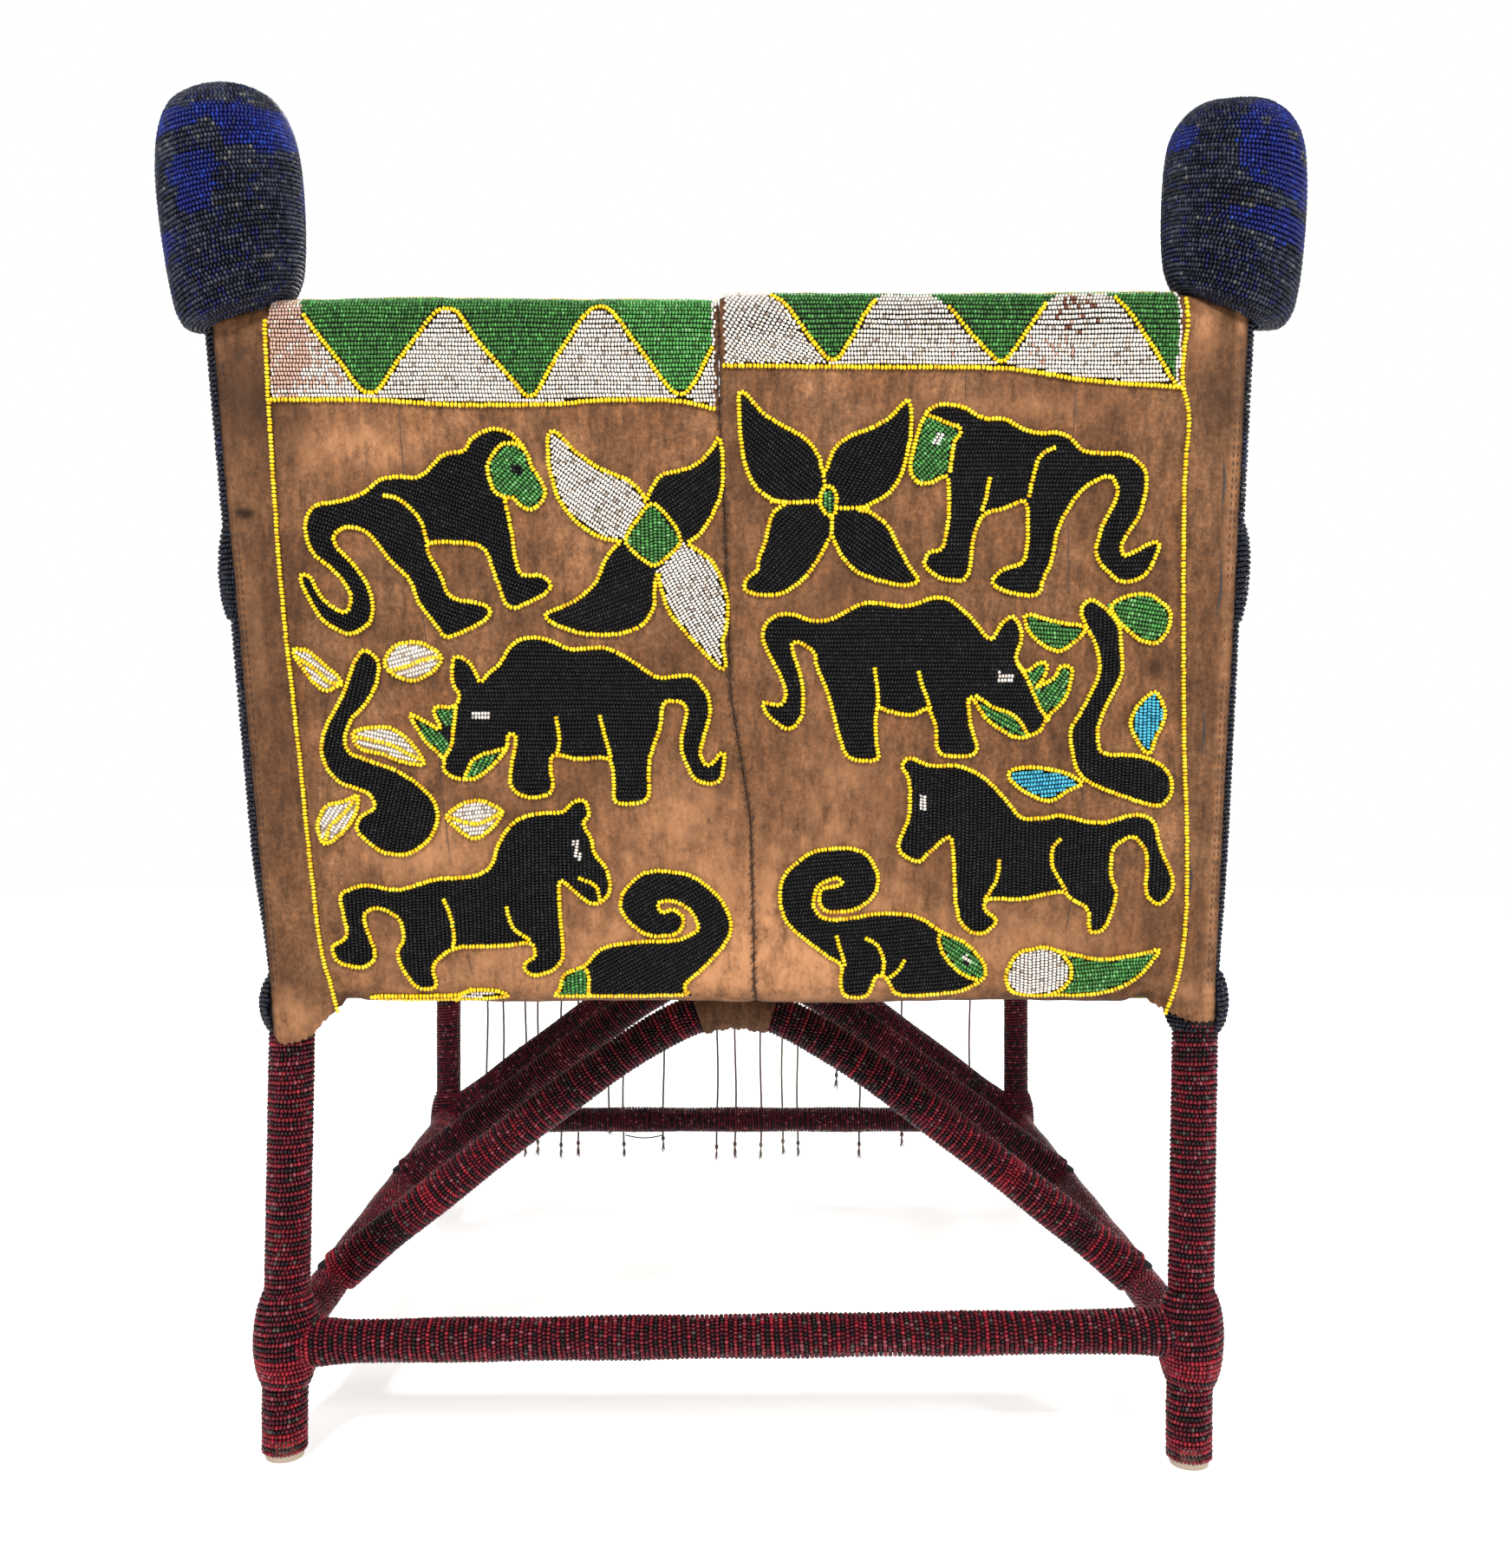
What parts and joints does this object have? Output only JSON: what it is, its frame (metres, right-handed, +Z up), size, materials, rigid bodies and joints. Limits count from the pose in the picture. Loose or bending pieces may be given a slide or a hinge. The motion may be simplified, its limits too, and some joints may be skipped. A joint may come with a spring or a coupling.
{
  "type": "beaded chair",
  "caption": "Low chair with a bead-wound pole frame, three arched braces, padded post finials, a cloth back sewn with beaded animals, and a hanging thread fringe.",
  "frame": {"origin": "on the floor, below the middle of the bounding box", "axes": "+Z up; +Y is the way the sitter faces, so the beaded back faces -Y; +X is the sitter's right-hand side when seen from behind"},
  "size_m": [0.6576, 0.7583, 0.8106],
  "materials": {
    "cover_cloth": "worn brown cloth, stained and creased",
    "cane": "peeled cane",
    "pad_cloth": "brown cloth over padding",
    "fringe_thread": "spun cotton thread, dark, with a frayed knot at each end",
    "red_beads": "glossy red and black glass seed beads in rows",
    "navy_beads": "dark blue and black glass seed beads",
    "white_beads": "opaque glass seed beads with yellow and green rows",
    "black_beads": "glossy opaque glass seed beads outlined with yellow beads",
    "blue_beads": "glossy cobalt glass seed beads",
    "post_beads": "near-black and red glass seed beads"
  },
  "bodies": {
    "chair": {"arch_binding": "cover_cloth", "back_top_rail": "cane", "backrest_pad": "pad_cloth", "fringe_header": "cover_cloth", "front_arch": "red_beads", "front_left_lashing": "red_beads", "front_left_leg": "red_beads", "front_right_lashing": "red_beads", "front_right_leg": "red_beads", "front_seat_rail": "navy_beads", "front_stretcher": "red_beads", "left_arm": "navy_beads", "left_arm_lashing": "navy_beads", "left_back_cover": "cover_cloth", "left_border": "white_beads", "left_curl_tail": "black_beads", "left_egg": "white_beads", "left_finial": "blue_beads", "left_flower": "black_beads", "left_horse": "black_beads", "left_ladle": "black_beads", "left_monkey": "black_beads", "left_rhino": "black_beads", "left_seat_lashing": "navy_beads", "left_seat_rail": "navy_beads", "left_stretcher": "red_beads", "middle_arch": "red_beads", "rear_arch": "red_beads", "rear_left_lashing": "red_beads", "rear_left_post": "post_beads", "rear_right_lashing": "red_beads", "rear_right_post": "post_beads", "rear_seat_rail": "navy_beads", "rear_stretcher": "red_beads", "right_arm": "navy_beads", "right_arm_lashing": "navy_beads", "right_back_cover": "cover_cloth", "right_border": "white_beads", "right_club": "black_beads", "right_curl_tail": "black_beads", "right_egg": "white_beads", "right_finial": "blue_beads", "right_flower": "black_beads", "right_horse": "black_beads", "right_monkey": "black_beads", "right_rhino": "black_beads", "right_seat_lashing": "navy_beads", "right_seat_rail": "navy_beads", "right_stretcher": "red_beads", "seat_deck": "cane", "seat_pad": "pad_cloth"},
    "thread_1": {"fringe_thread_1": "fringe_thread"},
    "thread_2": {"fringe_thread_2": "fringe_thread"},
    "thread_3": {"fringe_thread_3": "fringe_thread"},
    "thread_4": {"fringe_thread_4": "fringe_thread"},
    "thread_5": {"fringe_thread_5": "fringe_thread"},
    "thread_6": {"fringe_thread_6": "fringe_thread"},
    "thread_7": {"fringe_thread_7": "fringe_thread"},
    "thread_8": {"fringe_thread_8": "fringe_thread"},
    "thread_9": {"fringe_thread_9": "fringe_thread"}
  },
  "joints": [
    {"name": "thread_1_swing", "type": "hinge", "parent": "chair", "child": "thread_1", "pos_m": [-0.2558, 0.3775, 0.302], "axis": [1, 0, 0], "range_deg": [0, 60]},
    {"name": "thread_2_swing", "type": "hinge", "parent": "chair", "child": "thread_2", "pos_m": [-0.2172, 0.3775, 0.302], "axis": [1, 0, 0], "range_deg": [0, 60]},
    {"name": "thread_3_swing", "type": "hinge", "parent": "chair", "child": "thread_3", "pos_m": [-0.178, 0.3775, 0.302], "axis": [1, 0, 0], "range_deg": [0, 60]},
    {"name": "thread_4_swing", "type": "hinge", "parent": "chair", "child": "thread_4", "pos_m": [-0.12915, 0.3775, 0.302], "axis": [1, 0, 0], "range_deg": [0, 60]},
    {"name": "thread_5_swing", "type": "hinge", "parent": "chair", "child": "thread_5", "pos_m": [-0.0517, 0.3775, 0.302], "axis": [1, 0, 0], "range_deg": [0, 60]},
    {"name": "thread_6_swing", "type": "hinge", "parent": "chair", "child": "thread_6", "pos_m": [0.00865, 0.3775, 0.302], "axis": [1, 0, 0], "range_deg": [0, 60]},
    {"name": "thread_7_swing", "type": "hinge", "parent": "chair", "child": "thread_7", "pos_m": [0.0524, 0.3775, 0.302], "axis": [1, 0, 0], "range_deg": [0, 60]},
    {"name": "thread_8_swing", "type": "hinge", "parent": "chair", "child": "thread_8", "pos_m": [0.11315, 0.3775, 0.302], "axis": [1, 0, 0], "range_deg": [0, 60]},
    {"name": "thread_9_swing", "type": "hinge", "parent": "chair", "child": "thread_9", "pos_m": [0.20515, 0.3775, 0.302], "axis": [1, 0, 0], "range_deg": [0, 60]}
  ]
}
